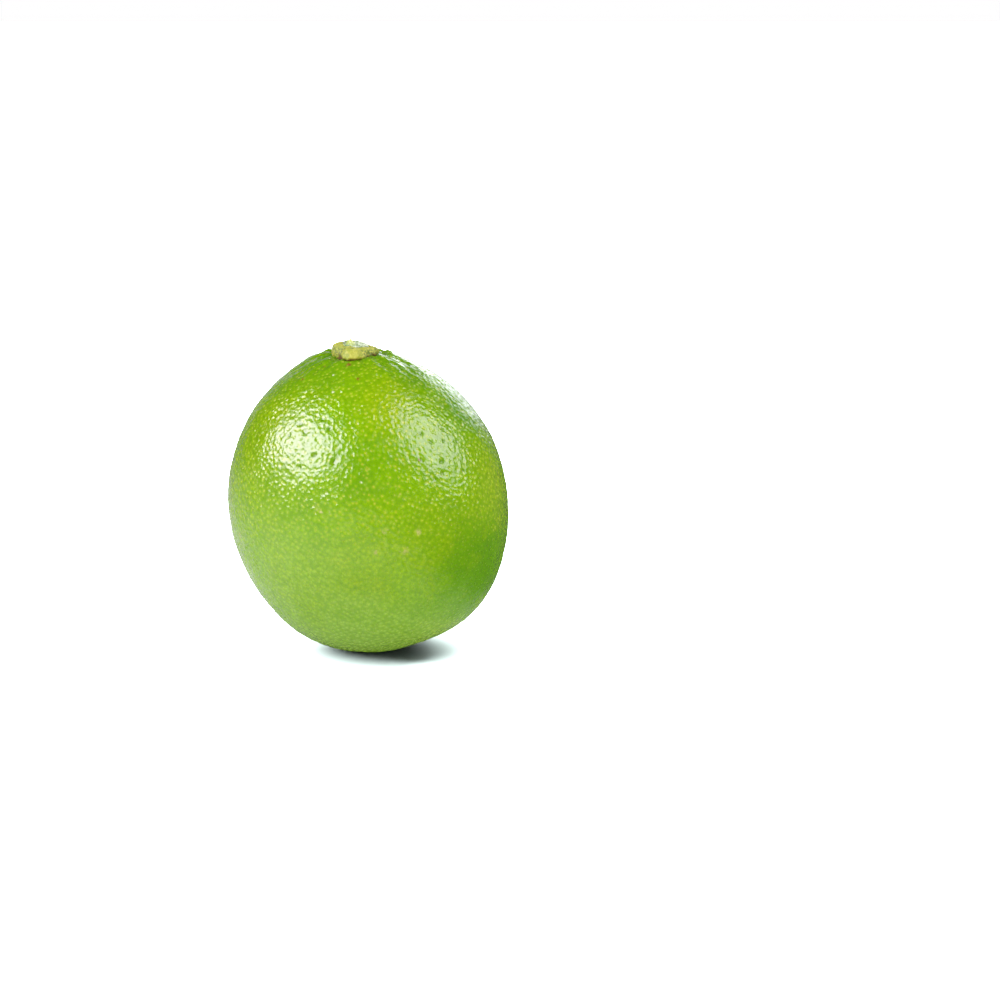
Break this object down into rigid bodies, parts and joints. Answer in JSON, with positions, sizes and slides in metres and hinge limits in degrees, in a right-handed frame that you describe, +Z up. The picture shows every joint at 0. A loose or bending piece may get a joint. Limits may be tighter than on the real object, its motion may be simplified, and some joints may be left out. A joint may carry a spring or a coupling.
{
  "type": "lime",
  "caption": "Whole green lime with a pored waxy peel, a lobed stem button on top and a small flat spot to rest on.",
  "frame": {"origin": "centre of the flat spot that the fruit rests on", "axes": "+Z up from the flat spot towards the stem button, -Y to the front, +X to the right seen from the front"},
  "size_m": [0.0563, 0.0572, 0.0632],
  "materials": {
    "peel": "waxy, softly glossy green citrus peel with fine oil-gland pits",
    "dry_calyx": "dry, matt, yellow-green and brown woody calyx"
  },
  "bodies": {
    "root": {"fruit": "peel", "stem_button": "dry_calyx"}
  },
  "joints": []
}
